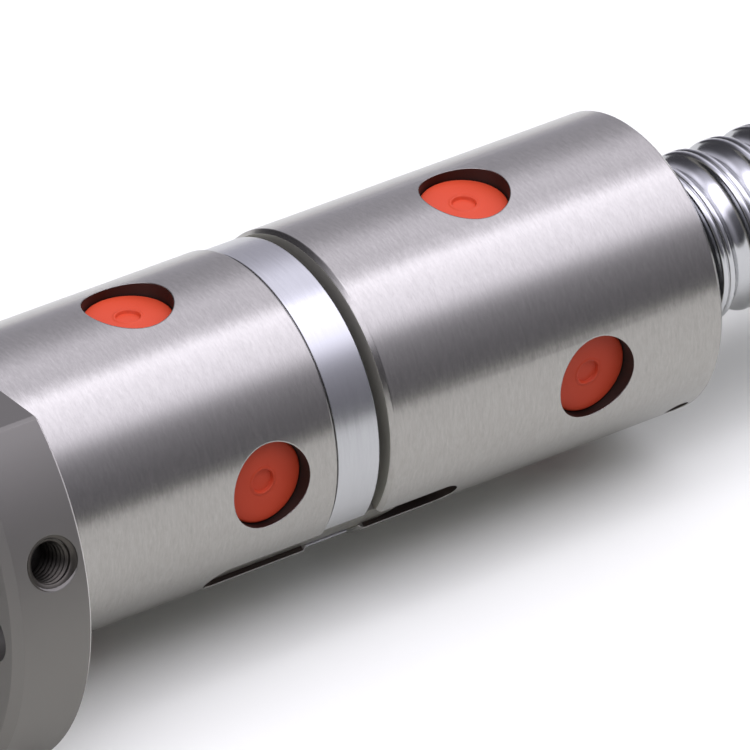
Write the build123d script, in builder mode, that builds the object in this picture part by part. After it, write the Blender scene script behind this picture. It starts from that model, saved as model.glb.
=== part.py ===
from build123d import *
from math import cos, dist, pi, radians, sin
import os

# Rolled ball screw with a double nut, in millimetres. The screw's axis is X and +Z is up.
# The origin is on that axis, in the face of the flange that seats against a housing.
# Angles turn about +X and start from +Y, so that the front, -Y, is at 180 degrees.

# Screw. The thread is rolled, right-handed and has one start.
lead = 5.0
crest_d = 20.0
screw_length = 260.0
screw_behind_flange = 50.0
screw_chamfer = 1.2

# Balls and their track
ball_d = 3.175
ball_centres_over_crest = 0.375
track_clearance = 0.1375
ball_gap = 0.08

# Nuts. Both are 36 across: the track's bore and two walls.
nut_wall = 5.9
flanged_body_length = 41.2
plain_nut_past_circuits = 11.77
nut_chamfer = 0.5
circuits_per_nut = 4
circuit_step_angle = 450.0

# Flange
flange_d = 58.0
flange_t = 10.0
flange_flats = 44.0
flange_back_chamfer = 1.0
flange_seat_chamfer = 0.3
flange_corner_chamfer = 0.3
bolt_hole_d = 6.6
bolt_spread_angle = 30.0
oil_port_d = 5.2
oil_port_mouth_d = 6.6
oil_port_angle = 162.0
oil_port_behind_seat = 4.2
oil_port_depth = 9.0
oil_way_d = 3.0

# Spacer ring and key
spacer_step = 0.35
spacer_t = 5.6
spacer_bore_clearance = 0.4
nut_gap = 1.6
keyway_angle = 221.5
keyway_width = 5.0
wall_under_keyway = 1.9
keyway_in_flanged_nut = 15.4
keyway_in_plain_nut = 12.0
key_clearance = 0.04
key_sunk = 0.8
key_in_plain_nut = 4.5

# Deflectors, the moulded plugs that lead the balls back over one crest
deflector_d = 10.3
deflector_clearance = 0.05
deflector_sunk = 1.8
deflector_over_crest = 0.5
crossing_half_angle = 25.0
crossing_lift = 1.45
channel_clearance = 0.15
flanged_first_from_end = 9.3
flanged_turn_angle = 3.0
plain_turn_angle = -3.0
turns_between_nuts = 9
plain_circuits_before = 2

# Wiper rings and the set screw that holds the plain nut's
wiper_width = 4.45
wiper_t = 3.4
wiper_seat_depth = 4.2
wiper_sunk = 0.6
wiper_clearance = 0.1
wiper_over_crest = 0.35
set_screw_d = 3.0
set_screw_clearance = 0.05
set_screw_sunk = 0.8
set_screw_socket = 1.5
set_screw_from_end = 2.6
set_screw_tip_gap = 0.2
set_screw_angle = 225.5

# Places along the axis
flange_back = -flange_t
flanged_end = flanged_body_length
spacer_end = flanged_end + spacer_t
plain_start = spacer_end + nut_gap
screw_start = flange_back - screw_behind_flange

# Radii that several pieces share
crest_r = crest_d / 2
ball_r = ball_d / 2
ball_circle_r = crest_r + ball_centres_over_crest
root_r = ball_circle_r - ball_r - track_clearance
track_r = ball_circle_r + ball_r + track_clearance
nut_r = track_r + nut_wall
nut_d = 2 * nut_r
spacer_r = nut_r - spacer_step
spacer_bore_r = track_r + spacer_bore_clearance
wiper_bore_r = crest_r + wiper_over_crest
wiper_r = wiper_bore_r + wiper_width
wiper_seat_r = wiper_r + wiper_clearance
bolt_circle_r = (nut_d + flange_d) / 4
keyway_floor_r = track_r + wall_under_keyway
key_top_r = nut_r - key_sunk
pocket_d = deflector_d + 2 * deflector_clearance
deflector_foot_r = crest_r + deflector_over_crest
deflector_top_r = nut_r - deflector_sunk
set_screw_tip_r = wiper_r + set_screw_tip_gap
set_screw_top_r = nut_r - set_screw_sunk

FRONT = 180.0
FULL_TURN = 360.0
os.makedirs("parts", exist_ok=True)


def helix_x(angle):
    """Where the thread's crest stands along the axis, at an angle that counts whole turns too."""
    front_x = flanged_end - flanged_first_from_end
    front_angle = FRONT - flanged_turn_angle
    return front_x + lead * (angle - front_angle) / FULL_TURN


def radial_plane(x, angle):
    """A plane at a point of the axis that faces straight out from it, with its x along the screw."""
    outward = (0, cos(radians(angle)), sin(radians(angle)))
    return Plane(origin=(x, 0, 0), x_dir=(1, 0, 0), z_dir=outward)


def save(part, name):
    """Label a finished piece and write its file."""
    part.label = name
    export_step(part, f"parts/{name}.step")


# Every deflector sits on the crest, a turn and a quarter of the thread from the next one.
flanged_angles = [
    FRONT - flanged_turn_angle - circuit_step_angle * i
    for i in range(circuits_per_nut)
]
plain_front = FRONT - plain_turn_angle + FULL_TURN * turns_between_nuts
plain_angles = [
    plain_front + circuit_step_angle * (i - plain_circuits_before)
    for i in range(circuits_per_nut)
]
plain_end = helix_x(plain_angles[-1]) + plain_nut_past_circuits
set_screw_x = plain_end - set_screw_from_end


def cut_deflector_pockets(angles):
    """Bore a round pocket through the nut's wall at each deflector."""
    for angle in angles:
        with BuildSketch(radial_plane(helix_x(angle), angle)) as mouth:
            Circle(pocket_d / 2)
        extrude(mouth.sketch, amount=nut_d, mode=Mode.SUBTRACT)


def cut_bore(outer_end, inner_end):
    """Bore a nut to the full depth of its track, with a wiper seat in its outer end."""
    inward = 1 if inner_end > outer_end else -1
    seat_floor = outer_end + inward * wiper_seat_depth
    with BuildSketch(Plane.XZ) as profile:
        with BuildLine():
            Polyline(
                (outer_end, 0),
                (outer_end, wiper_seat_r),
                (seat_floor, wiper_seat_r),
                (seat_floor, track_r),
                (inner_end, track_r),
                (inner_end, 0),
                close=True,
            )
        make_face()
    revolve(profile.sketch, axis=Axis.X, mode=Mode.SUBTRACT)


def cut_keyway():
    """Mill the keyway, round at both ends, down to its floor."""
    start = flanged_end - keyway_in_flanged_nut
    end = plain_start + keyway_in_plain_nut
    middle = radial_plane((start + end) / 2, keyway_angle)
    with BuildSketch(middle.offset(keyway_floor_r)) as plan:
        SlotOverall(end - start, keyway_width)
    extrude(plan.sketch, amount=nut_d, mode=Mode.SUBTRACT)


# Screw shaft: the rolled bar at the root of its thread, sawn and chamfered at both ends
with BuildPart() as screw_shaft:
    with BuildSketch(Plane.YZ.offset(screw_start)):
        Circle(root_r)
    extrude(amount=screw_length)
    chamfer(screw_shaft.edges().filter_by(GeomType.CIRCLE), screw_chamfer)
save(screw_shaft.part, "screw_shaft")

# Flanged nut: one turned body, with a round flange milled flat above and below
with BuildPart() as flanged_nut:
    with BuildSketch(Plane.YZ.offset(flange_back)):
        Circle(flange_d / 2)
        Rectangle(flange_d, flange_flats, mode=Mode.INTERSECT)
    extrude(amount=flange_t)
    chamfer(flanged_nut.edges().filter_by(Axis.X), flange_corner_chamfer)
    back_face = flanged_nut.faces().sort_by(Axis.X)[0]
    chamfer(back_face.edges(), flange_back_chamfer)
    seat_face = flanged_nut.faces().sort_by(Axis.X)[-1]
    chamfer(seat_face.edges(), flange_seat_chamfer)
    with BuildSketch(Plane.YZ):
        Circle(nut_r)
    extrude(amount=flanged_body_length)
    free_end = flanged_nut.edges().filter_by(GeomType.CIRCLE).sort_by(Axis.X)[-1]
    chamfer(free_end, nut_chamfer)
    cut_bore(flange_back, flanged_end)
    cut_deflector_pockets(flanged_angles)
    cut_keyway()
    bolt_angles = [
        side + bolt_spread_angle * step
        for side in (0, FRONT)
        for step in (-1, 0, 1)
    ]
    bolt_places = [
        (
            bolt_circle_r * cos(radians(angle)),
            bolt_circle_r * sin(radians(angle)),
        )
        for angle in bolt_angles
    ]
    with BuildSketch(Plane.YZ.offset(flange_back)):
        with Locations(*bolt_places):
            Circle(bolt_hole_d / 2)
    extrude(amount=flange_t, mode=Mode.SUBTRACT)
    port_plane = radial_plane(-oil_port_behind_seat, oil_port_angle)
    with Locations(port_plane.offset(flange_d / 2)):
        CounterSinkHole(
            radius=oil_port_d / 2,
            counter_sink_radius=oil_port_mouth_d / 2,
            depth=oil_port_depth,
        )
    with BuildSketch(port_plane):
        Circle(oil_way_d / 2)
    extrude(amount=flange_d / 2 - oil_port_depth / 2, mode=Mode.SUBTRACT)
save(flanged_nut.part, "flanged_nut")

# Plain nut: the same turned body without a flange, with the wiper's set screw hole at its free end
with BuildPart() as plain_nut:
    with BuildSketch(Plane.YZ.offset(plain_start)):
        Circle(nut_r)
    extrude(amount=plain_end - plain_start)
    chamfer(plain_nut.edges().filter_by(GeomType.CIRCLE), nut_chamfer)
    cut_bore(plain_end, plain_start)
    cut_deflector_pockets(plain_angles)
    cut_keyway()
    with BuildSketch(radial_plane(set_screw_x, set_screw_angle)):
        Circle(set_screw_d / 2)
    extrude(amount=nut_d, mode=Mode.SUBTRACT)
save(plain_nut.part, "plain_nut")

# Spacer ring, whose thickness sets the preload between the nuts, notched for the key
with BuildPart() as spacer_ring:
    with BuildSketch(Plane.YZ.offset(flanged_end)):
        Circle(spacer_r)
        Circle(spacer_bore_r, mode=Mode.SUBTRACT)
    extrude(amount=spacer_t)
    cut_keyway()
save(spacer_ring.part, "spacer_ring")

# Key: fills the flanged nut's keyway, crosses the spacer and reaches into the plain nut's
with BuildPart() as nut_key:
    key_start = flanged_end - keyway_in_flanged_nut + key_clearance
    key_end = plain_start + key_in_plain_nut
    key_plane = radial_plane((key_start + key_end) / 2, keyway_angle)
    with BuildSketch(key_plane.offset(keyway_floor_r)):
        SlotOverall(key_end - key_start, keyway_width - 2 * key_clearance)
    extrude(amount=key_top_r - keyway_floor_r)
save(nut_key.part, "nut_key")

# Wiper rings: one in the seat at each outer end of the double nut, clear of the thread's crest
with BuildPart() as wiper_rings:
    for start in (flange_back + wiper_sunk, plain_end - wiper_sunk - wiper_t):
        with BuildSketch(Plane.YZ.offset(start)):
            Circle(wiper_r)
            Circle(wiper_bore_r, mode=Mode.SUBTRACT)
        extrude(amount=wiper_t)
save(wiper_rings.part, "wiper_rings")

# Set screw: a headless screw with a hexagon socket, over the plain nut's wiper
with BuildPart() as wiper_set_screw:
    set_screw_plane = radial_plane(set_screw_x, set_screw_angle)
    with BuildSketch(set_screw_plane.offset(set_screw_tip_r)):
        Circle(set_screw_d / 2 - set_screw_clearance)
    extrude(amount=set_screw_top_r - set_screw_tip_r)
    with BuildSketch(set_screw_plane.offset(set_screw_top_r)):
        RegularPolygon(set_screw_socket / 2, 6, major_radius=False)
    extrude(amount=(set_screw_tip_r - set_screw_top_r) / 2, mode=Mode.SUBTRACT)
save(wiper_set_screw.part, "wiper_set_screw")


# Half of a crossing, seen from outside: how far it leads along the screw, and across it
crossing_shift = lead / 2 - lead * crossing_half_angle / FULL_TURN
crossing_run = ball_circle_r * sin(radians(crossing_half_angle))


def cut_crossing():
    """Mould the channel into the deflector's foot, slanting so that the balls move over by one lead."""
    with BuildLine(mode=Mode.PRIVATE) as path:
        Polyline(
            (crossing_shift, deflector_d),
            (crossing_shift, crossing_run),
            (-crossing_shift, -crossing_run),
            (-crossing_shift, -deflector_d),
        )
    with BuildSketch() as plan:
        trace(path.wires(), ball_d + 2 * channel_clearance)
    roof = ball_circle_r + crossing_lift + ball_r + channel_clearance
    extrude(plan.sketch, amount=roof, mode=Mode.SUBTRACT)


# Deflector: a round plug with the crossing channel moulded into its foot
with BuildPart() as deflector:
    with BuildSketch(Plane.XY.offset(deflector_foot_r)):
        Circle(deflector_d / 2)
    extrude(amount=deflector_top_r - deflector_foot_r)
    cut_crossing()

# Ball: eight flat faces, with their corners on the ball's sphere, because there are so many of them
with BuildPart() as ball:
    with BuildSketch(mode=Mode.PRIVATE) as belt:
        RegularPolygon(ball_r, 4)
    loft([Vertex(0, 0, -ball_r), belt.sketch, Vertex(0, 0, ball_r)], ruled=True)


def circuit_point(centre, angle, turned):
    """A point of the closed ball circuit, turned by so many degrees from its deflector, -180 to 180."""
    if abs(turned) < crossing_half_angle:
        share = turned / crossing_half_angle
        radius = ball_circle_r + crossing_lift * cos(pi / 2 * share) ** 2
        shift = -crossing_shift * radius * sin(radians(turned)) / crossing_run
    else:
        side = -1 if turned > 0 else 1
        radius = ball_circle_r
        shift = side * lead / 2 + lead * turned / FULL_TURN
    place = radians(angle + turned)
    return (centre + shift, radius * cos(place), radius * sin(place))


def ball_places(angle):
    """The balls' centres along one circuit, as many as fit and evenly spaced."""
    steps = 1440
    points = [
        circuit_point(helix_x(angle), angle, FULL_TURN * (i / steps - 0.5))
        for i in range(steps + 1)
    ]
    run = [0.0]
    for before, after in zip(points, points[1:]):
        run.append(run[-1] + dist(before, after))
    count = int(run[-1] / (ball_d + ball_gap))
    places = []
    for point, so_far in zip(points, run):
        if so_far >= len(places) * run[-1] / count and len(places) < count:
            places.append(point)
    return places


# One deflector and one train of balls for each circuit
for nut_name, angles in (
    ("flanged_nut", flanged_angles),
    ("plain_nut", plain_angles),
):
    for number, angle in enumerate(angles, start=1):
        seat = radial_plane(helix_x(angle), angle)
        save(deflector.part.moved(seat.location), f"{nut_name}_deflector_{number}")
        balls = [ball.part.moved(Location(place)) for place in ball_places(angle)]
        save(Compound(children=balls), f"{nut_name}_balls_{number}")
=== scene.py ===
# %% [markdown]
# # A rolled ball screw with a preloaded double nut
#
# Two ground steel nuts sit on a rolled screw with a spacer ring between them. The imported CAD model
# gives every solid its real place, in metres. This script keeps the solids whose shape is already
# right, replaces those that need a finer form, and gives each surface the finish of the real one.

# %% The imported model
import math

import bmesh
import bpy
import numpy as np
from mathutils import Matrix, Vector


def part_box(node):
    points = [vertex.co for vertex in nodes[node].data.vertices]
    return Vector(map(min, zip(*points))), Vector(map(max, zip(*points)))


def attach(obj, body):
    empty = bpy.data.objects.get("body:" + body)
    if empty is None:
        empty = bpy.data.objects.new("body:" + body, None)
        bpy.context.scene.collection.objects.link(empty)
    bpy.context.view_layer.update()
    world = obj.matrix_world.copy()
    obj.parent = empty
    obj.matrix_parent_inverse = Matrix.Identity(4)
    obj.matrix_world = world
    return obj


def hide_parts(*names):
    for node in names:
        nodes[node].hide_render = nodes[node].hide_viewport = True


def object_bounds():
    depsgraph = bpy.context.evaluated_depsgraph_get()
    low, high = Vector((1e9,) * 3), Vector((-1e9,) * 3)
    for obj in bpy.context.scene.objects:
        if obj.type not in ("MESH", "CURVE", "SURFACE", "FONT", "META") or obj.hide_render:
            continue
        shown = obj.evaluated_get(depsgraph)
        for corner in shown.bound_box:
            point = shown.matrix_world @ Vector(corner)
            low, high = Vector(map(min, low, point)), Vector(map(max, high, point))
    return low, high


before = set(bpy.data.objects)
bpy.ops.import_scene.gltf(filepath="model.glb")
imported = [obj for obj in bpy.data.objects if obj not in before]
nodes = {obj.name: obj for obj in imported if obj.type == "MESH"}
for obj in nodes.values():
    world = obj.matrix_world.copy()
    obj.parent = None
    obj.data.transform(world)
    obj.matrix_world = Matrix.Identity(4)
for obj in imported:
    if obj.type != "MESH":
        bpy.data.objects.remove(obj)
cad_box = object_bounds()
MM = 0.001

# %% [markdown]
# ## Camera
#
# The photograph was taken from far away with a long lens, so the two nuts hardly shrink with
# distance. The camera looks at one known point, the screw's axis at the plain nut's near end. Its
# place follows from that point, the two viewing angles and the distance.

# %% Camera
VIEW_AZIMUTH = math.radians(-35.86)
VIEW_ELEVATION = math.radians(31.0)
VIEW_DISTANCE = 1353.8 * MM
LENS_MM = 576.0
LOOK_OFFSET_RIGHT = 8.55 * MM
LOOK_OFFSET_UP = 0.80 * MM

plain_low, plain_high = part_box("plain_nut")
look_at = np.array([plain_low[0], 0.0, 0.0])
to_camera = np.array([
    math.sin(VIEW_AZIMUTH) * math.cos(VIEW_ELEVATION),
    -math.cos(VIEW_AZIMUTH) * math.cos(VIEW_ELEVATION),
    math.sin(VIEW_ELEVATION),
])
right = np.array([math.cos(VIEW_AZIMUTH), math.sin(VIEW_AZIMUTH), 0.0])
up = np.cross(to_camera, right)
place = look_at + LOOK_OFFSET_RIGHT * right + LOOK_OFFSET_UP * up + VIEW_DISTANCE * to_camera

camera_data = bpy.data.cameras.new("camera")
camera_data.lens = LENS_MM
camera_data.clip_end = 20.0
camera = bpy.data.objects.new("camera", camera_data)
camera.location = place
camera.rotation_euler = (math.pi / 2 - VIEW_ELEVATION, 0.0, VIEW_AZIMUTH)
bpy.context.scene.collection.objects.link(camera)
bpy.context.scene.camera = camera
bpy.context.scene.view_settings.view_transform = "Standard"
print("camera at", [round(float(v), 4) for v in place])

# %% [markdown]
# ## Helpers for meshes
#
# Most new pieces here are surfaces on a grid: rows of points that go once round, or along, a shape.
# One helper joins such rows into faces. Another puts finished arrays into Blender, merges the points
# that fall together and turns every face outwards.


# %% Mesh helpers
def grid_faces(rows, columns, closed=False):
    """Faces of a grid of points: each joins point (i, j) with its neighbours (i + 1, j),
    (i + 1, j + 1) and (i, j + 1). Closed joins the last row to the first."""
    i = np.arange(rows if closed else rows - 1)[:, None]
    j = np.arange(columns - 1)[None, :]
    ahead = (i + 1) % rows
    quads = [i * columns + j, ahead * columns + j, ahead * columns + j + 1, i * columns + j + 1]
    return np.stack(np.broadcast_arrays(*quads), axis=-1).reshape(-1, 4)


def make_piece(name, points, faces, smooth_angle=35.0):
    """One mesh object from points in millimetres and faces. Points closer than 0.1 micron merge,
    faces that lose their area go, and the rest turn outwards. Edges sharper than the angle stay."""
    mesh = bpy.data.meshes.new(name)
    mesh.from_pydata((np.asarray(points) * MM).tolist(), [], [list(f) for f in faces])
    work = bmesh.new()
    work.from_mesh(mesh)
    bmesh.ops.remove_doubles(work, verts=work.verts, dist=1e-7)
    bmesh.ops.dissolve_degenerate(work, edges=work.edges, dist=1e-8)
    bmesh.ops.delete(work, geom=[v for v in work.verts if not v.link_faces], context="VERTS")
    bmesh.ops.recalc_face_normals(work, faces=work.faces)
    work.to_mesh(mesh)
    work.free()
    mesh.shade_smooth()
    mesh.set_sharp_from_angle(angle=math.radians(smooth_angle))
    piece = bpy.data.objects.new(name, mesh)
    bpy.context.scene.collection.objects.link(piece)
    print(name, "has", len(mesh.polygons), "faces")
    return piece


def mesh_points(mesh):
    """The points of a mesh in millimetres, as one array."""
    values = np.empty(len(mesh.vertices) * 3)
    mesh.vertices.foreach_get("co", values)
    return values.reshape(-1, 3) / MM


# %% [markdown]
# ## The rolled thread
#
# Thread rolling presses the ball groove into a plain bar. The groove is a little wider than the
# ball and nearly round, and the pressed-out metal rises beside it as two rounded lips, which meet
# at the crest in a dark seam. The surface is a function of two things: the angle round the bar, and
# the distance across one turn of thread. It is worked out for all points at once.

# %% Sizes of the thread
LEAD = 5.0
CREST_R = 10.0
BALL_CIRCLE_R = 10.375
GROOVE_R = 1.725
LIP_MIDDLE = 0.45
LIP_CURVE = 1.0
LIP_BLEND = 0.05
SEAM_DEPTH = 0.16
SEAM_WIDTH = 0.09
SCREW_CHAMFER = 1.2
LIP_END = 0.7
TURN_STEPS = 60
CREST_BEFORE_PLAIN_NUT = 16.5
CREST_ANGLE = 177.0

screw_low, screw_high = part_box("screw_shaft")
SCREW_START = screw_low[0] / MM
SCREW_END = screw_high[0] / MM
print("screw from", round(SCREW_START, 2), "to", round(SCREW_END, 2), "mm")


def crest_x(angle):
    """Where the thread's crest stands along the screw, at an angle in degrees about +X from +Y."""
    return plain_low[0] / MM - CREST_BEFORE_PLAIN_NUT + LEAD * (angle - CREST_ANGLE) / 360.0


def thread_radius(across):
    """The screw's radius at a distance from the crest's middle, measured along the screw.
    The groove is the arc of a circle about the balls' centre line. Each lip is a parabola beside
    the middle, and the seam between the two is deepened like a narrow bell curve. The lip goes
    over into the groove by a soft minimum, -b ln(exp(-lip / b) + exp(-groove / b))."""
    away = np.abs((across + LEAD / 2) % LEAD - LEAD / 2)
    from_groove = LEAD / 2 - away
    groove = BALL_CIRCLE_R - np.sqrt(np.clip(GROOVE_R**2 - from_groove**2, 0.0, None))
    lip = CREST_R - LIP_CURVE * np.clip(away - LIP_MIDDLE, -LIP_MIDDLE, LIP_END) ** 2
    lip = lip - SEAM_DEPTH * np.exp(-((away / SEAM_WIDTH) ** 2))
    low = np.minimum(lip, groove)
    high = np.maximum(lip, groove)
    return low - LIP_BLEND * np.log1p(np.exp((low - high) / LIP_BLEND))


# %% Points of the threaded screw
crest_half = np.array([0.0, 0.06, 0.14, 0.26, 0.42, 0.58, 0.72, 0.82, 0.91])
groove_half = LEAD / 2 - GROOVE_R * np.sin(np.radians([60, 50, 40, 30, 20, 10]))
half_turn = np.concatenate([crest_half, groove_half])
across_turn = np.concatenate([half_turn, [LEAD / 2], LEAD - half_turn[:0:-1]])
per_turn = len(across_turn)
turns = int((SCREW_END - SCREW_START) / LEAD) + 3
angles = np.arange(TURN_STEPS) * 360.0 / TURN_STEPS
start = (crest_x(0.0) - SCREW_START) % LEAD + SCREW_START - 2 * LEAD
along = (np.arange(turns)[:, None] * LEAD + across_turn[None, :]).ravel() + start
free_x = along[None, :] + (crest_x(angles) - crest_x(0.0))[:, None]
thread_x = np.clip(free_x, SCREW_START, SCREW_END)
radius = thread_radius(thread_x - crest_x(angles)[:, None])
from_end = np.minimum(thread_x - SCREW_START, SCREW_END - thread_x)
radius = np.minimum(radius, CREST_R - SCREW_CHAMFER + from_end)
round_screw = np.radians(angles)[:, None]
thread_points = np.stack(
    [thread_x, radius * np.cos(round_screw), radius * np.sin(round_screw)], axis=-1
).reshape(-1, 3)
print("points across one turn:", per_turn, "turns:", turns)

# %% [markdown]
# The rows follow the thread, so after one full turn the last row meets the first one lead further
# on. The joining faces shift their far side by the points of one turn. Each end closes on its
# centre.

# %% Faces of the threaded screw
row_length = turns * per_turn
j = np.arange(row_length - per_turn - 1)
last_row = (TURN_STEPS - 1) * row_length
joint = np.stack([last_row + j, per_turn + j, per_turn + j + 1, last_row + j + 1], axis=-1)
quads = np.concatenate([grid_faces(TURN_STEPS, row_length), joint])
corner = thread_points[quads]
area = np.linalg.norm(np.cross(corner[:, 2] - corner[:, 0], corner[:, 3] - corner[:, 1]), axis=1)
quads = quads[area > 1e-6]
first_ring = np.arange(TURN_STEPS) * row_length
last_ring = first_ring + row_length - 1
centre = len(thread_points)
fans = [
    np.stack([np.full(TURN_STEPS, centre + k), ring, np.roll(ring, -1)], axis=-1)
    for k, ring in enumerate((first_ring, last_ring))
]
ends = np.array([[SCREW_START, 0, 0], [SCREW_END, 0, 0]])
rolled_thread = make_piece(
    "rolled_thread",
    np.concatenate([thread_points, ends]),
    quads.tolist() + np.concatenate(fans).tolist(),
)
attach(rolled_thread, "screw")
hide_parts("screw_shaft")

# %% [markdown]
# ## Balls
#
# The CAD model draws each ball as eight flat faces, because there are 160 of them. Here each gets a
# small round mesh about the same centre. The centres are read from the CAD meshes, in which every
# ball has the same number of points.

# %% Balls
BALL_R = 1.5875
BALLS_PER_CIRCUIT = 20
BALL_RINGS = 6
BALL_SIDES = 10


def unit_ball(rings, sides):
    """A round mesh of radius 1: sin and cos of the angle from the pole, times those round it."""
    down = np.linspace(0, np.pi, rings + 1)[None, :]
    around = (np.arange(sides) * 2 * np.pi / sides)[:, None]
    x = np.broadcast_to(np.cos(down), (sides, rings + 1))
    points = np.stack([x, np.sin(down) * np.cos(around), np.sin(down) * np.sin(around)], axis=-1)
    return points.reshape(-1, 3), grid_faces(sides, rings + 1, closed=True)


ball_points, ball_faces = unit_ball(BALL_RINGS, BALL_SIDES)
ball_nodes = sorted(name for name in nodes if "_balls_" in name)
ball_pieces = []
for node in ball_nodes:
    corners = mesh_points(nodes[node].data)
    centres = corners.reshape(BALLS_PER_CIRCUIT, -1, 3).mean(axis=1)
    points = centres[:, None, :] + BALL_R * ball_points[None, :, :]
    shift = np.arange(BALLS_PER_CIRCUIT)[:, None, None] * len(ball_points)
    piece = make_piece(
        node + "_round", points.reshape(-1, 3), (ball_faces[None] + shift).reshape(-1, 4), 80.0
    )
    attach(piece, "nuts")
    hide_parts(node)
    ball_pieces.append(piece.name)

# %% [markdown]
# ## Deflector plugs
#
# Each plug is a round moulding with a small sunk disc in the middle of its outer face and a small
# radius round its edge. The CAD plug already has the right size and the ball channel in its foot,
# so the finer face is cut from a copy of it: the shape kept is what the CAD plug and a finely
# turned blank have in common. It is worked out once, about the plug's own axis, and then set into
# all eight pockets.

# %% Sizes of a plug
PLUG_R = 5.15
PLUG_TOP_R = 16.2
PLUG_EDGE_R = 0.35
PLUG_DISH_R = 1.38
PLUG_DISH_DEPTH = 0.34
PLUG_DISH_SLOPE = 0.12
PLUG_LIP_WIDTH = 0.14
PLUG_LIP_HEIGHT = 0.11
PLUG_LIP_OUT = 0.2
PLUG_FACE_SUNK = 0.06
BLANK_SIDES = 72
BLANK_FOOT_R = 5.0
BLANK_SPARE = 0.2


def plug_face(r):
    """The height of a plug's face at a distance from its middle. The dish is a smooth step down,
    with a thin raised lip round it, and the edge falls off as a quarter circle."""
    step = np.clip((PLUG_DISH_R - r) / PLUG_DISH_SLOPE + 0.5, 0.0, 1.0)
    dish = PLUG_DISH_DEPTH * step * step * (3 - 2 * step)
    lip = PLUG_LIP_HEIGHT * np.exp(-(((r - PLUG_DISH_R - PLUG_LIP_OUT) / PLUG_LIP_WIDTH) ** 2))
    past = np.clip(r - (PLUG_R - PLUG_EDGE_R), 0.0, PLUG_EDGE_R)
    edge = PLUG_EDGE_R - np.sqrt(PLUG_EDGE_R**2 - past**2)
    return PLUG_TOP_R - PLUG_FACE_SUNK - dish + lip - edge


def plug_seat(name):
    """A plug's place along the screw and its angle about it, from the middle of its CAD node."""
    corners = mesh_points(nodes[name].data)
    middle = corners.mean(axis=0)
    return (corners[:, 0].min() + corners[:, 0].max()) / 2, math.atan2(middle[2], middle[1])


def turn_about_screw(points, angle):
    """Turns points about X by an angle: y' = y cos - z sin and z' = y sin + z cos."""
    x, y, z = points.T
    c, s = math.cos(angle), math.sin(angle)
    return np.stack([x, y * c - z * s, y * s + z * c], axis=-1)


# %% One plug, worked out in the pose in which it points along +Y
plug_nodes = sorted(name for name in nodes if "_deflector_" in name)
seat_x, seat_angle = plug_seat(plug_nodes[0])
rings = np.concatenate([
    [0.0, 0.7],
    PLUG_DISH_R + np.linspace(-0.12, 0.5, 14),
    [3.2, 4.2],
    PLUG_R - PLUG_EDGE_R * (1 - np.sin(np.radians(np.arange(0, 91, 15)))),
])
heights = plug_face(rings)
rings = np.concatenate([rings, [PLUG_R + BLANK_SPARE, PLUG_R + BLANK_SPARE, 0.0]])
heights = np.concatenate([heights, [heights[-1], BLANK_FOOT_R, BLANK_FOOT_R]])
around = (np.arange(BLANK_SIDES) * 2 * np.pi / BLANK_SIDES)[:, None]
blank_y = np.broadcast_to(heights, (BLANK_SIDES, len(rings)))
blank_points = np.stack([rings * np.cos(around), blank_y, rings * np.sin(around)], axis=-1).reshape(-1, 3)
blank = make_piece("plug_blank", blank_points, grid_faces(BLANK_SIDES, len(rings), closed=True))

cad_mesh = nodes[plug_nodes[0]].data
cad_plug = turn_about_screw(mesh_points(cad_mesh) - [seat_x, 0, 0], -seat_angle)
cad_faces = [list(p.vertices) for p in cad_mesh.polygons]
plug_copy = make_piece("plug_copy", cad_plug, cad_faces)
common = plug_copy.modifiers.new("common", "BOOLEAN")
common.operation = "INTERSECT"
common.solver = "EXACT"
common.object = blank
evaluated = plug_copy.evaluated_get(bpy.context.evaluated_depsgraph_get())
plug_mesh = bpy.data.meshes.new_from_object(evaluated)
plug_points = mesh_points(plug_mesh)
plug_faces = [list(p.vertices) for p in plug_mesh.polygons]
for spare in (blank, plug_copy):
    bpy.data.objects.remove(spare)
print("plug from", plug_points.min(axis=0).round(2), "to", plug_points.max(axis=0).round(2))

# %% The eight plugs in their pockets
plug_pieces = []
for node in plug_nodes:
    x, angle = plug_seat(node)
    piece = make_piece(node + "_moulded", turn_about_screw(plug_points, angle) + [x, 0, 0], plug_faces)
    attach(piece, "nuts")
    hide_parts(node)
    plug_pieces.append(piece.name)

# %% [markdown]
# ## Wipers
#
# A wiper ring keeps dirt out and oil in. Its outline is turned round the screw's axis, and it has
# two thin lips that reach in towards the crest of the thread. The ring in the flanged nut is the
# mirror image of the one in the plain nut, so that both turn the same side outwards.


# %% Rings turned from a closed outline
def turned_ring(outline, sides):
    """Points and faces of a closed outline of (along, radius) pairs, swept round the X axis."""
    outline = np.vstack([outline, outline[:1]])
    around = (np.arange(sides) * 2 * np.pi / sides)[:, None]
    along = np.broadcast_to(outline[:, 0], (sides, len(outline)))
    points = np.stack([along, outline[:, 1] * np.cos(around), outline[:, 1] * np.sin(around)], axis=-1)
    return points.reshape(-1, 3), grid_faces(sides, len(outline), closed=True)


# %% Wipers
WIPER_R = 14.8
WIPER_BORE_R = 10.35
WIPER_T = 3.4
WIPER_SIDES = 128
wiper_outline = np.array([
    (0.0, WIPER_R - 0.2), (0.2, WIPER_R), (WIPER_T - 0.2, WIPER_R), (WIPER_T, WIPER_R - 0.2),
    (WIPER_T, 11.3), (WIPER_T - 0.35, 10.9), (WIPER_T - 0.5, WIPER_BORE_R), (WIPER_T - 0.9, WIPER_BORE_R),
    (WIPER_T - 1.2, 11.0), (1.2, 11.0), (0.9, WIPER_BORE_R), (0.5, WIPER_BORE_R), (0.35, 10.9),
    (0.0, 11.3), (0.0, 12.0), (0.18, 12.15), (0.18, 13.4), (0.0, 13.55),
])
wiper_low, wiper_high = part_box("wiper_rings")
ring_points, ring_faces = turned_ring(wiper_outline, WIPER_SIDES)
behind_flange = ring_points + [wiper_low[0] / MM, 0, 0]
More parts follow.
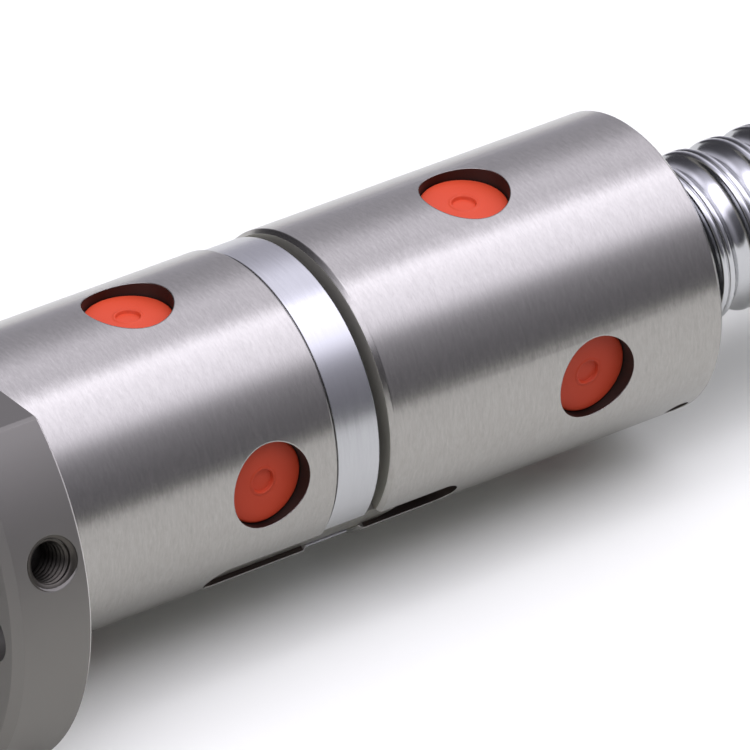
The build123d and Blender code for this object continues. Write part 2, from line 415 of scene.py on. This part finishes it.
at_plain_end = ring_points * [-1, 1, 1] + [wiper_high[0] / MM, 0, 0]
wipers = make_piece(
    "lipped_wipers",
    np.concatenate([behind_flange, at_plain_end]),
    np.concatenate([ring_faces, ring_faces + len(ring_points)]),
)
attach(wipers, "wipers")
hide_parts("wiper_rings")

# %% [markdown]
# ## The oil port's thread
#
# The oil port is threaded up to the flange's rim, through its countersunk mouth. The grid runs
# round the hole and down it, and the thread's wave moves down by one pitch in one turn. The top
# follows the round of the rim: the height of a point is the root of R squared - side squared,
# less its depth.

# %% Sizes of the oil port
PORT_R = 2.6
PORT_MOUTH_R = 3.3
PORT_MOUTH_SLOPE = 0.87
PORT_ANGLE = math.radians(162.0)
PORT_BEHIND_SEAT = 4.2
PORT_PITCH = 0.8
PORT_THREAD_DEPTH = 0.3
PORT_TURNS = 8
PORT_SIDES = 64
PORT_STEPS = 8
PORT_TOP = 0.02
PORT_SKIN = 0.02
PORT_GAP = 0.01
FLANGE_R = 29.0


def port_wall(depth):
    """The radius of the hole at a depth: a cone down from the mouth, and then the bore."""
    return np.maximum(PORT_R, PORT_MOUTH_R - PORT_MOUTH_SLOPE * depth)


# %% Points of the oil port's thread
share_round = (np.arange(PORT_SIDES) / PORT_SIDES - 0.5)[:, None]
steps_down = np.arange(-PORT_STEPS, PORT_STEPS * (PORT_TURNS + 1) + 1)[None, :]
bottom = PORT_TURNS * PORT_PITCH
thread_depth = np.clip(PORT_PITCH * (steps_down / PORT_STEPS + share_round), PORT_TOP, bottom)
wave = 0.5 * (1 - np.cos(2 * np.pi * (thread_depth / PORT_PITCH - share_round)))
thread_r = port_wall(thread_depth) - PORT_GAP - PORT_SKIN - PORT_THREAD_DEPTH * wave
mouth_depth = (PORT_MOUTH_R - PORT_R) / PORT_MOUTH_SLOPE
back_depth = np.broadcast_to([bottom, mouth_depth, PORT_TOP], (PORT_SIDES, 3))
port_depth = np.concatenate([thread_depth, back_depth], axis=1)
from_port = np.concatenate([thread_r, port_wall(back_depth) - PORT_GAP], axis=1)
port_side = from_port * np.sin(2 * np.pi * share_round)
port_along = from_port * np.cos(2 * np.pi * share_round)
port_height = np.sqrt(FLANGE_R**2 - port_side**2) - port_depth
port_points = np.stack([port_along, port_height, port_side], axis=-1).reshape(-1, 3)
print("port thread is", round(bottom, 2), "mm deep")

# %% [markdown]
# This thread is closed as the screw's is: over the seam, each point meets the one a turn further on.
# The three points behind it close the outline, and they meet their own likes.

# %% Faces of the oil port's thread
port_row = from_port.shape[1]
thread_row = steps_down.size
this = np.arange(port_row)
following = np.roll(this, -1)
a_turn_on = np.where(this < thread_row, np.minimum(this + PORT_STEPS, thread_row - 1), this)
row = np.arange(PORT_SIDES - 1)[:, None] * port_row
port_faces = np.stack(
    [row + this, row + port_row + this, row + port_row + following, row + following], axis=-1
).reshape(-1, 4)
port_end = (PORT_SIDES - 1) * port_row
seam = np.stack([port_end + this, a_turn_on[this], a_turn_on[following], port_end + following], axis=-1)
oil_thread = make_piece(
    "oil_port_thread",
    turn_about_screw(port_points, PORT_ANGLE) - [PORT_BEHIND_SEAT, 0, 0],
    np.concatenate([port_faces, seam]),
    60.0,
)
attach(oil_thread, "nuts")

# %% [markdown]
# ## Materials
#
# All the metals here are steel, and only the way each surface was made sets them apart. The colours
# are sRGB values. Each steel gets its grain from two noises in the object's own coordinates, and
# every scale is one over a real length in metres.


# %% Material helpers
def linear(code):
    """An sRGB hex colour as linear red, green, blue and alpha."""
    values = np.array([int(code[i : i + 2], 16) for i in (1, 3, 5)]) / 255.0
    low = values / 12.92
    high = ((values + 0.055) / 1.055) ** 2.4
    return (*np.where(values <= 0.04045, low, high).tolist(), 1.0)


def add(tree, kind, inputs=None, **settings):
    """Adds a node with its settings. An input that is a node output gets a link, and any other
    value is set on the socket."""
    node = tree.nodes.new(kind)
    for name, value in settings.items():
        setattr(node, name, value)
    for name, value in (inputs or {}).items():
        socket = node.inputs[name]
        if isinstance(value, bpy.types.NodeSocket):
            tree.links.new(value, socket)
        else:
            socket.default_value = value
    return node


def new_material(name):
    """An empty material, with its tree, its shader and the object's own coordinates."""
    material = bpy.data.materials.new(name)
    material.use_nodes = True
    tree = material.node_tree
    tree.nodes.clear()
    shader = add(tree, "ShaderNodeBsdfPrincipled")
    add(tree, "ShaderNodeOutputMaterial", {"Surface": shader.outputs[0]})
    where = add(tree, "ShaderNodeTexCoord").outputs["Object"]
    return material, tree, shader, where


def give(material, *names):
    """Puts a material on CAD nodes or pieces by name."""
    for name in names:
        target = nodes.get(name) or bpy.data.objects[name]
        target.data.materials.clear()
        target.data.materials.append(material)


def one_over(*lengths_mm):
    """The Mapping scale that gives a noise features of these sizes in millimetres."""
    return tuple(1.0 / (length * MM) for length in lengths_mm)


# %% Steel, worked round the screw's axis
def worked_steel(name, colour, roughness, grain_mm, tilt, shade, edge_mm=0.2):
    """Steel that was turned or ground round the screw's axis. Its grain runs round the axis: fine
    along X and long across it. The grain tilts the surface a little round the axis, so that the
    edge of each reflection frays into streaks, and it makes some streaks darker than others:
    colour times (1 + shade times streak). The reflections themselves spread along the screw, across
    the grain. Every sharp edge catches light as if broken with a file, over the width of edge_mm."""
    material, tree, shader, where = new_material(name)
    split = add(tree, "ShaderNodeSeparateXYZ", {"Vector": where}).outputs
    minus_z = add(tree, "ShaderNodeMath", {0: split["Z"], 1: -1.0}, operation="MULTIPLY").outputs[0]
    round_axis = add(tree, "ShaderNodeCombineXYZ", {"Y": minus_z, "Z": split["Y"]}).outputs[0]
    round_world = add(
        tree, "ShaderNodeVectorTransform", {"Vector": round_axis},
        vector_type="VECTOR", convert_from="OBJECT", convert_to="WORLD",
    ).outputs[0]
    grain_way = add(tree, "ShaderNodeVectorMath", {0: round_world}, operation="NORMALIZE").outputs[0]
    normal = add(tree, "ShaderNodeBevel", {"Radius": edge_mm * MM}, samples=8).outputs[0]
    across = add(tree, "ShaderNodeVectorMath", {0: normal, 1: grain_way}, operation="CROSS_PRODUCT")
    streaks = []
    for coarser in (1.0, 3.2):
        scale = one_over(*(size * coarser for size in grain_mm))
        at = add(tree, "ShaderNodeMapping", {"Vector": where, "Scale": scale}).outputs[0]
        noise = add(
            tree, "ShaderNodeTexNoise",
            {"Vector": at, "Scale": 1.0, "Detail": 2.0, "Roughness": 0.65},
        ).outputs[0]
        streak = add(tree, "ShaderNodeMath", {0: noise, 1: 0.5}, operation="SUBTRACT")
        streaks.append(streak.outputs[0])
    both = add(tree, "ShaderNodeMath", {0: streaks[0], 1: streaks[1]}, operation="ADD").outputs[0]
    push = add(tree, "ShaderNodeMath", {0: both, 1: tilt}, operation="MULTIPLY").outputs[0]
    pushed = add(tree, "ShaderNodeVectorMath", {0: grain_way, "Scale": push}, operation="SCALE").outputs[0]
    tilted = add(tree, "ShaderNodeVectorMath", {0: normal, 1: pushed}, operation="ADD").outputs[0]
    tilted = add(tree, "ShaderNodeVectorMath", {0: tilted}, operation="NORMALIZE").outputs[0]
    tone = add(tree, "ShaderNodeMath", {0: both, 1: shade, 2: 1.0}, operation="MULTIPLY_ADD").outputs[0]
    base = add(
        tree, "ShaderNodeVectorMath", {0: linear(colour)[:3], "Scale": tone}, operation="SCALE"
    ).outputs[0]
    tree.links.new(base, shader.inputs["Base Color"])
    tree.links.new(tilted, shader.inputs["Normal"])
    tree.links.new(across.outputs[0], shader.inputs["Tangent"])
    shader.inputs["Metallic"].default_value = 1.0
    shader.inputs["Roughness"].default_value = roughness
    shader.inputs["Anisotropic"].default_value = 0.35
    return {
        "material": material, "tree": tree, "shader": shader, "where": where,
        "base": base, "roughness": roughness,
    }


# %% [markdown]
# The nuts' outer faces are ground. What lies further in, such as the walls of the pockets and the
# keyway, is painted darker: painted shade for these recesses. The flange and the end faces were
# only turned, so they are duller, and a thin pale line along the flange's edge is a painted highlight.
# Each zone is found from where a point lies: its distance from the axis, and its place along it.


# %% Zones of a material
def add_zone(steel, mask, colour, roughness):
    """Gives part of a material another colour and roughness, where the mask is 1."""
    tree, shader = steel["tree"], steel["shader"]
    mix = add(tree, "ShaderNodeMix", {0: mask, 6: steel["base"], 7: linear(colour)}, data_type="RGBA")
    dull = add(tree, "ShaderNodeMix", {0: mask, 2: steel["roughness"], 3: roughness}, data_type="FLOAT")
    tree.links.new(mix.outputs[2], shader.inputs["Base Color"])
    tree.links.new(dull.outputs[0], shader.inputs["Roughness"])
    steel["base"] = mix.outputs[2]
    steel["roughness"] = dull.outputs[0]


def between(tree, value, low, high):
    """1 where a value lies between two limits, and otherwise 0."""
    above = add(tree, "ShaderNodeMath", {0: value, 1: low}, operation="GREATER_THAN").outputs[0]
    below = add(tree, "ShaderNodeMath", {0: value, 1: high}, operation="LESS_THAN").outputs[0]
    return add(tree, "ShaderNodeMath", {0: above, 1: below}, operation="MULTIPLY").outputs[0]


# %% Ground nuts
NUT_R = 18.0
GROUND_GRAIN = (0.11, 0.55, 0.55)
CHAMFER_REACH = 0.6 * MM
WALL_TOP = 0.07 * MM
FACE_SKIN = 0.02 * MM
RIM_LINE = 0.3 * MM
SEAT_GAP = 0.01 * MM
for name in ("flanged_nut", "plain_nut"):
    low, high = (float(corner[0]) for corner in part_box(name))
    seat = max(low, 0.0)
    steel = worked_steel("ground_steel_" + name, "#9C9A95", 0.23, GROUND_GRAIN, tilt=0.02, shade=0.3)
    tree = steel["tree"]
    coords = add(tree, "ShaderNodeSeparateXYZ", {"Vector": steel["where"]}).outputs
    across = add(tree, "ShaderNodeCombineXYZ", {"Y": coords["Y"], "Z": coords["Z"]}).outputs[0]
    from_axis = add(tree, "ShaderNodeVectorMath", {0: across}, operation="LENGTH").outputs["Value"]
    flanged = low < seat
    if flanged:
        add_zone(steel, between(tree, coords["X"], low - MM, seat - SEAT_GAP), "#7E7C77", 0.62)
    body = between(tree, coords["X"], seat + CHAMFER_REACH, high - CHAMFER_REACH)
    deep = between(tree, from_axis, 0.0, NUT_R * MM - WALL_TOP)
    painted_recess_shade = add(tree, "ShaderNodeMath", {0: body, 1: deep}, operation="MULTIPLY").outputs[0]
    # Painted shade: the walls of the pockets and the keyway get a darker colour, as if in shade.
    add_zone(steel, painted_recess_shade, "#48403B", 0.55)
    first_face = low - MM if flanged else low + FACE_SKIN
    within = between(tree, coords["X"], first_face, high - FACE_SKIN)
    at_ends = add(tree, "ShaderNodeMath", {0: 1.0, 1: within}, operation="SUBTRACT").outputs[0]
    add_zone(steel, at_ends, "#AEACA1", 0.65)
    if flanged:
        # Painted highlight: a pale colour on the flange's edge chamfer stands in for the light it catches.
        rim_painted_highlight = between(tree, coords["X"], seat - RIM_LINE, seat - SEAT_GAP)
        add_zone(steel, rim_painted_highlight, "#D2D0CB", 0.5)
    give(steel["material"], name)
print("nuts dressed")

# %% [markdown]
# The other steels differ in how they were worked. The spacer ring is finely turned, which gives
# thin rings round it and a soft sheen. Rolling leaves the screw nearly as smooth as a mirror, with
# long streaks along the thread. The key and the set screw keep the dull dark skin of hardening. The
# tapped hole is dull, and its dark colour is painted shade, so that it looks deep. The balls are polished.

# %% The other steels
turned_steel = worked_steel("finely_turned_steel", "#B2B3B4", 0.27, (0.12, 2.0, 2.0), tilt=0.02, shade=0.12)
rolled_steel = worked_steel("rolled_steel", "#BCBDBE", 0.16, (0.5, 1.5, 1.5), tilt=0.04, shade=0.08)
dark_steel = worked_steel("hardened_dark_steel", "#85837B", 0.45, (0.4, 0.9, 0.9), tilt=0.1, shade=0.4)
# Painted shade: the tapped hole's steel is dark so that the hole looks deep.
tapped_steel_painted_shade = worked_steel("tapped_steel_painted_shade", "#4F4C47", 0.45, (0.4, 0.4, 0.4), tilt=0.03, shade=0.3)
ball_steel = worked_steel("polished_ball_steel", "#D2D3D5", 0.08, (0.5, 0.5, 0.5), tilt=0.0, shade=0.04)
give(turned_steel["material"], "spacer_ring")
give(rolled_steel["material"], "rolled_thread")
give(dark_steel["material"], "nut_key", "wiper_set_screw")
give(tapped_steel_painted_shade["material"], "oil_port_thread")
give(ball_steel["material"], *ball_pieces)
print("steels dressed, with", len(ball_pieces), "trains of balls")

# %% [markdown]
# The plugs are glass-filled nylon moulded in a spark-eroded tool, which leaves a satin skin with a
# very fine grain. The wipers are black moulded plastic with the same kind of skin.


# %% Moulded plastics
TONE_MM = 3.0


def moulded_plastic(name, colour, worn, roughness, skin_mm, skin_depth_mm):
    """A moulded skin: a fine grain that is only felt in its highlights, and a slow change of tone
    between the two colours."""
    material, tree, shader, where = new_material(name)
    noises = []
    for size_mm, detail in ((skin_mm, 2.0), (TONE_MM, 3.0)):
        at = add(tree, "ShaderNodeMapping", {"Vector": where, "Scale": one_over(size_mm, size_mm, size_mm)})
        noise = add(tree, "ShaderNodeTexNoise", {"Vector": at.outputs[0], "Scale": 1.0, "Detail": detail})
        noises.append(noise.outputs[0])
    fine, slow = noises
    tone = add(tree, "ShaderNodeMix", {0: slow, 6: linear(colour), 7: linear(worn)}, data_type="RGBA")
    skin = add(tree, "ShaderNodeBump", {"Height": fine, "Strength": 1.0, "Distance": skin_depth_mm * MM})
    tree.links.new(tone.outputs[2], shader.inputs["Base Color"])
    tree.links.new(skin.outputs[0], shader.inputs["Normal"])
    shader.inputs["Roughness"].default_value = roughness
    shader.inputs["IOR"].default_value = 1.53
    shader.inputs["Specular IOR Level"].default_value = 0.25
    return material


plug_nylon = moulded_plastic("moulded_orange_nylon", "#CC4527", "#D24C2D", 0.5, 0.25, 0.004)
wiper_plastic = moulded_plastic("moulded_black_plastic", "#161617", "#1E1E1F", 0.5, 0.25, 0.006)
give(plug_nylon, *plug_pieces)
give(wiper_plastic, "lipped_wipers")
print("plastics dressed, with", len(plug_pieces), "plugs")

# %% [markdown]
# ## Floor and light
#
# The part lies on white paper, which falls into shade towards the front. Round it stands a studio
# tent, whose brightness depends on the direction's angle about the screw's axis, from the back wall
# at 0 degrees over the zenith at 90 to the front wall at 180. The wide softbox overhead is as long
# as the whole tent. The lower walls are narrow, so that little light gets under the nuts, and the
# front wall, on the camera's side, is dark. The paper looks white, also in the steels, but it
# throws less light up on the plastics, as grey card would, so that the front plugs stay deep red.

# %% Floor
FLOOR_HALF = 3.0
FRONT_SHADE_STARTS = -0.11
FRONT_SHADE_ENDS = -0.45
PAPER = (0.85, 0.865, 0.78, 1.0)
SHADED_PAPER = (0.25, 0.255, 0.225, 1.0)
THROWN_PAPER = (0.33, 0.335, 0.32, 1.0)
floor_z = cad_box[0][2]
floor_mesh = bpy.data.meshes.new("floor")
corner_signs = ((-1, -1), (1, -1), (1, 1), (-1, 1))
floor_corners = [(x * FLOOR_HALF, y * FLOOR_HALF, floor_z) for x, y in corner_signs]
floor_mesh.from_pydata(floor_corners, [], [(0, 1, 2, 3)])
floor = bpy.data.objects.new("floor", floor_mesh)
bpy.context.scene.collection.objects.link(floor)
print("floor at", round(floor_z / MM, 2), "mm")

# %% Paper
paper, paper_tree, paper_shader, paper_where = new_material("white_paper")
paper_place = add(paper_tree, "ShaderNodeSeparateXYZ", {"Vector": paper_where}).outputs
in_front = add(
    paper_tree, "ShaderNodeMapRange",
    {"Value": paper_place["Y"], "From Min": FRONT_SHADE_STARTS, "From Max": FRONT_SHADE_ENDS},
    interpolation_type="SMOOTHERSTEP",
).outputs[0]
seen_paper = add(
    paper_tree, "ShaderNodeMix", {0: in_front, 6: PAPER, 7: SHADED_PAPER}, data_type="RGBA"
).outputs[2]
ray = add(paper_tree, "ShaderNodeLightPath").outputs
seen = add(
    paper_tree, "ShaderNodeMath",
    {0: ray["Is Camera Ray"], 1: ray["Is Glossy Ray"]}, operation="MAXIMUM",
).outputs[0]
paper_colour = add(
    paper_tree, "ShaderNodeMix", {0: seen, 6: THROWN_PAPER, 7: seen_paper}, data_type="RGBA"
).outputs[2]
paper_tree.links.new(paper_colour, paper_shader.inputs["Base Color"])
paper_shader.inputs["Roughness"].default_value = 0.95
paper_shader.inputs["Specular IOR Level"].default_value = 0.0
floor_mesh.materials.append(paper)

# %% Studio tent
TENT_STRENGTH = 3.2
TENT = (
    (0, 0.22), (12, 0.215), (24, 0.225), (36, 0.26), (44, 0.33), (52, 0.45), (60, 0.54), (70, 0.50),
    (80, 0.46), (86, 0.66), (91, 1.1), (98, 0.87), (108, 0.79), (116, 0.74), (124, 0.68), (130, 0.48),
    (136, 0.26), (144, 0.165), (154, 0.13), (166, 0.095), (180, 0.08),
)
TENT_TINT = (0.965, 0.94, 1.09)
WALL_CENTRE = 0.5
WALL_WIDTH = 0.36
WALL_REACH = ((0, 0.12), (50, 0.15), (72, 0.5), (86, 1.0), (125, 1.0), (140, 0.35), (180, 0.3))
world = bpy.data.worlds.new("studio_tent")
bpy.context.scene.world = world
world.use_nodes = True
tent = world.node_tree
tent.nodes.clear()
way = add(tent, "ShaderNodeTexCoord").outputs["Generated"]
toward = add(tent, "ShaderNodeSeparateXYZ", {"Vector": way}).outputs
about_x = add(tent, "ShaderNodeMath", {0: toward["Z"], 1: toward["Y"]}, operation="ARCTAN2").outputs[0]
either_way = add(tent, "ShaderNodeMath", {0: about_x}, operation="ABSOLUTE").outputs[0]
half_turn_share = add(tent, "ShaderNodeMath", {0: either_way, 1: math.pi}, operation="DIVIDE").outputs[0]


def level_ramp(stops, tint):
    """A colour ramp over the share of the half turn, from stops of (degrees, value)."""
    ramp = add(tent, "ShaderNodeValToRGB", {"Fac": half_turn_share})
    elements = ramp.color_ramp.elements
    while len(elements) < len(stops):
        elements.new(0.5)
    for element, (degrees, value) in zip(elements, stops):
        element.position = degrees / 180.0
        element.color = (value * tint[0], value * tint[1], value * tint[2], 1.0)
    return ramp.outputs[0]


# %% [markdown]
# The walls are brightest a little towards the plain nut's end. From there their light falls off to
# both sides like a bell curve, exp(-((x - centre) / width) squared), where x is the direction's
# share along the screw. It falls to what reach gives: overhead that is 1, the same from end to end.

# %% The tent's light
tent_colour = level_ramp(TENT, TENT_TINT)
reach = level_ramp(WALL_REACH, (1.0, 1.0, 1.0))
off_centre = add(tent, "ShaderNodeMath", {0: toward["X"], 1: WALL_CENTRE}, operation="SUBTRACT").outputs[0]
in_widths = add(tent, "ShaderNodeMath", {0: off_centre, 1: WALL_WIDTH}, operation="DIVIDE").outputs[0]
square = add(tent, "ShaderNodeMath", {0: in_widths, 1: in_widths}, operation="MULTIPLY").outputs[0]
minus = add(tent, "ShaderNodeMath", {0: square, 1: -1.0}, operation="MULTIPLY").outputs[0]
bell = add(tent, "ShaderNodeMath", {0: minus}, operation="EXPONENT").outputs[0]
share_left = add(tent, "ShaderNodeMix", {0: bell, 2: reach, 3: 1.0}, data_type="FLOAT").outputs[0]
strength = add(tent, "ShaderNodeMath", {0: share_left, 1: TENT_STRENGTH}, operation="MULTIPLY").outputs[0]
tent_light = add(tent, "ShaderNodeBackground", {"Color": tent_colour, "Strength": strength}).outputs[0]
add(tent, "ShaderNodeOutputWorld", {"Surface": tent_light})
print("tent has", len(TENT), "levels")
